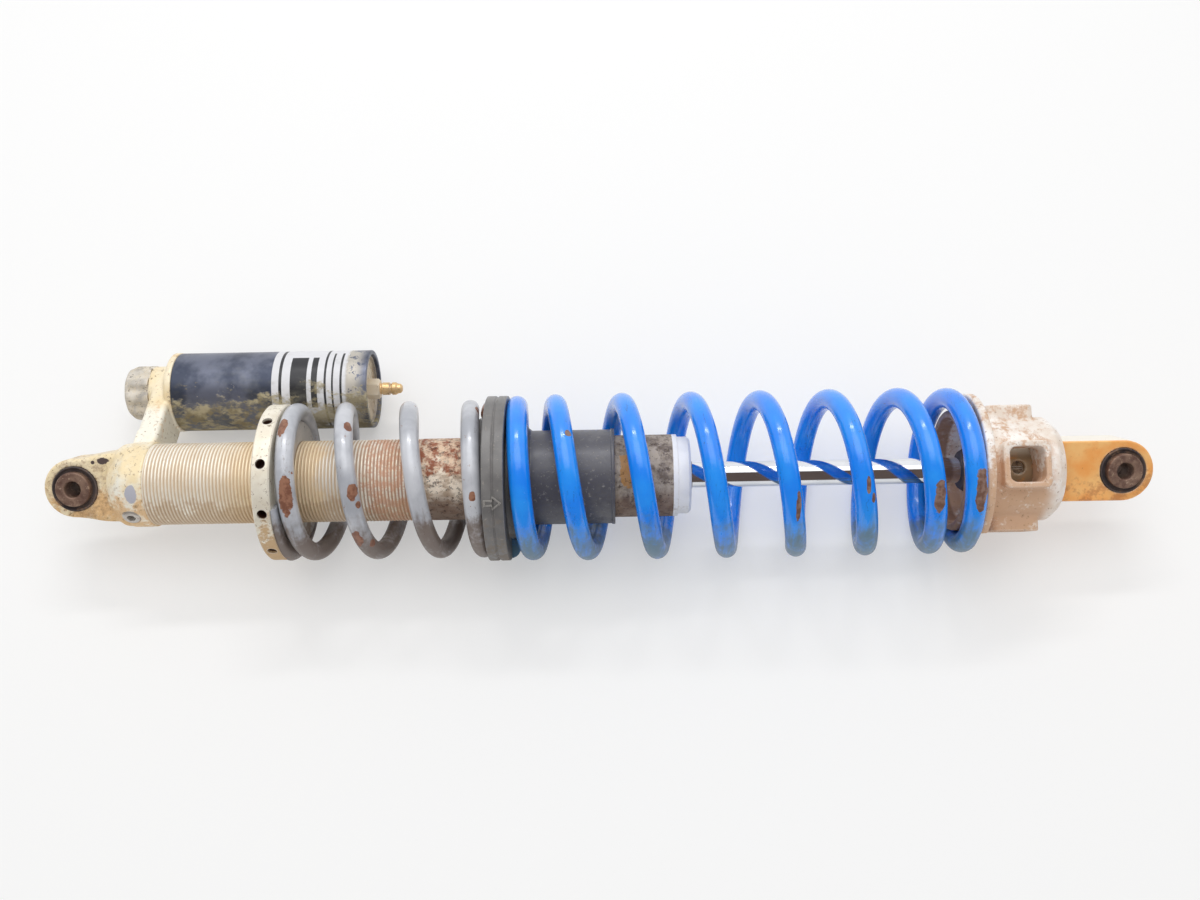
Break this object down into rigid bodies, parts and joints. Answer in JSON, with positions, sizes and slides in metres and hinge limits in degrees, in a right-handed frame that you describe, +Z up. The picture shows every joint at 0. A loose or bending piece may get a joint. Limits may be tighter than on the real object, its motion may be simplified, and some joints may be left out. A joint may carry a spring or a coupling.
{
  "type": "rear shock absorber",
  "caption": "Motorcycle rear shock absorber: threaded damper body with side reservoir, tender and main coil springs, crossover ring, chromed shaft and an eye at each end.",
  "frame": {"origin": "centre of the upper, body-side, eye's bolt bore, on the damper's axis", "axes": "+X along the damper's axis to the lower eye, +Z up with the shock lying on its springs and its reservoir, +Y towards the reservoir"},
  "size_m": [0.682, 0.1531, 0.1041],
  "materials": {
    "pale_anodised": "sun-bleached pale gold anodising, speckled with dirt",
    "orange_anodised": "orange-gold anodising with worn edges",
    "body_aluminium": "machined tube, grimy, with a fine outside thread",
    "black_anodised": "dark anodising with dried mud and worn chips",
    "bare_aluminium": "bare machined aluminium",
    "cast_aluminium": "sand-cast aluminium with tan dirt",
    "chrome_steel": "hard chrome",
    "steel": "plain steel",
    "rusty_steel": "rusted steel",
    "brass": "turned brass",
    "grey_paint": "silver-grey paint, chipped to rust",
    "blue_paint": "gloss blue powder coat with grime",
    "black_plastic": "charcoal moulded plastic",
    "knob_plastic": "dark, dirty knurled plastic",
    "rubber": "dark rubber",
    "ptfe": "bronze-filled bearing band"
  },
  "bodies": {
    "damper_body": {"head_with_upper_eye": "pale_anodised", "gallery_plug": "steel", "upper_bushings": "rubber", "body_tube": "body_aluminium", "reservoir_tube": "black_anodised", "reservoir_end_cap": "bare_aluminium", "end_cap_ring": "steel", "gas_valve": "brass", "gas_valve_core": "brass", "compression_cartridge": "bare_aluminium", "seal_head": "bare_aluminium", "shaft_seal": "rubber", "shaft_wiper": "rubber"},
    "upper_sleeve_body": {"upper_sleeve": "rusty_steel"},
    "compression_dial": {"compression_knob": "knob_plastic", "compression_knob_screw": "steel"},
    "gas_piston": {"floating_piston": "bare_aluminium", "floating_piston_band": "ptfe"},
    "tender_end": {"spring_locator": "bare_aluminium", "tender_spring": "grey_paint"},
    "collar": {"preload_collar": "pale_anodised"},
    "crossover": {"crossover_ring": "black_plastic", "main_spring": "blue_paint"},
    "shaft_assembly": {"shaft": "chrome_steel", "rebound_rod": "steel", "piston": "bare_aluminium", "piston_band": "ptfe", "compression_shims": "steel", "rebound_shims": "steel", "shim_washers": "steel", "piston_nut": "steel", "top_out_bumper": "rubber", "lower_spring_seat": "cast_aluminium", "lower_eye": "orange_anodised", "lower_bushings": "rubber", "bump_stop": "rubber", "bump_stop_washer": "bare_aluminium"},
    "lower_sleeve_body": {"lower_sleeve": "rusty_steel"},
    "rebound_dial": {"rebound_screw": "steel"}
  },
  "joints": [
    {"name": "shaft_slide", "type": "slide", "parent": "damper_body", "child": "shaft_assembly", "axis": [-1, 0, 0], "range_m": [0, 0.15], "stiffness_N_per_m": 6300, "springref_m": -0.02, "deforming": ["main_spring", "tender_spring"]},
    {"name": "crossover_slide", "type": "slide", "parent": "damper_body", "child": "crossover", "axis": [-1, 0, 0], "range_m": [0, 0.0441]},
    {"name": "floating_piston_slide", "type": "slide", "parent": "damper_body", "child": "gas_piston", "axis": [1, 0, 0], "range_m": [0, 0.01787]},
    {"name": "preload_travel", "type": "slide", "parent": "damper_body", "child": "tender_end", "axis": [1, 0, 0], "range_m": [-0.00847, 0]},
    {"name": "collar_turn", "type": "hinge", "parent": "tender_end", "child": "collar", "pos_m": [0.1198, 0, 0], "axis": [1, 0, 0], "range_deg": [-1440, 0]},
    {"name": "compression_knob_turn", "type": "hinge", "parent": "damper_body", "child": "compression_dial", "pos_m": [0.027, 0.0747, -0.02572], "axis": [1, 0, 0], "range_deg": [-150, 150]},
    {"name": "rebound_screw_turn", "type": "hinge", "parent": "shaft_assembly", "child": "rebound_dial", "pos_m": [0.5787, 0, 0], "axis": [0, -0.2689, 0.9632], "range_deg": [-180, 180]},
    {"name": "upper_sleeve_turn", "type": "hinge", "parent": "damper_body", "child": "upper_sleeve_body", "pos_m": [0, 0, 0], "axis": [0, -0.4848, 0.8746], "continuous": true},
    {"name": "lower_sleeve_turn", "type": "hinge", "parent": "shaft_assembly", "child": "lower_sleeve_body", "pos_m": [0.6435, 0, 0], "axis": [0, -0.4848, 0.8746], "continuous": true}
  ],
  "couplings": [
    {"joint": "crossover_slide", "follows": "shaft_slide", "ratio": 0.294},
    {"joint": "floating_piston_slide", "follows": "shaft_slide", "ratio": 0.1191},
    {"joint": "preload_travel", "follows": "collar_turn", "m_per_rad": 0.00033688}
  ]
}
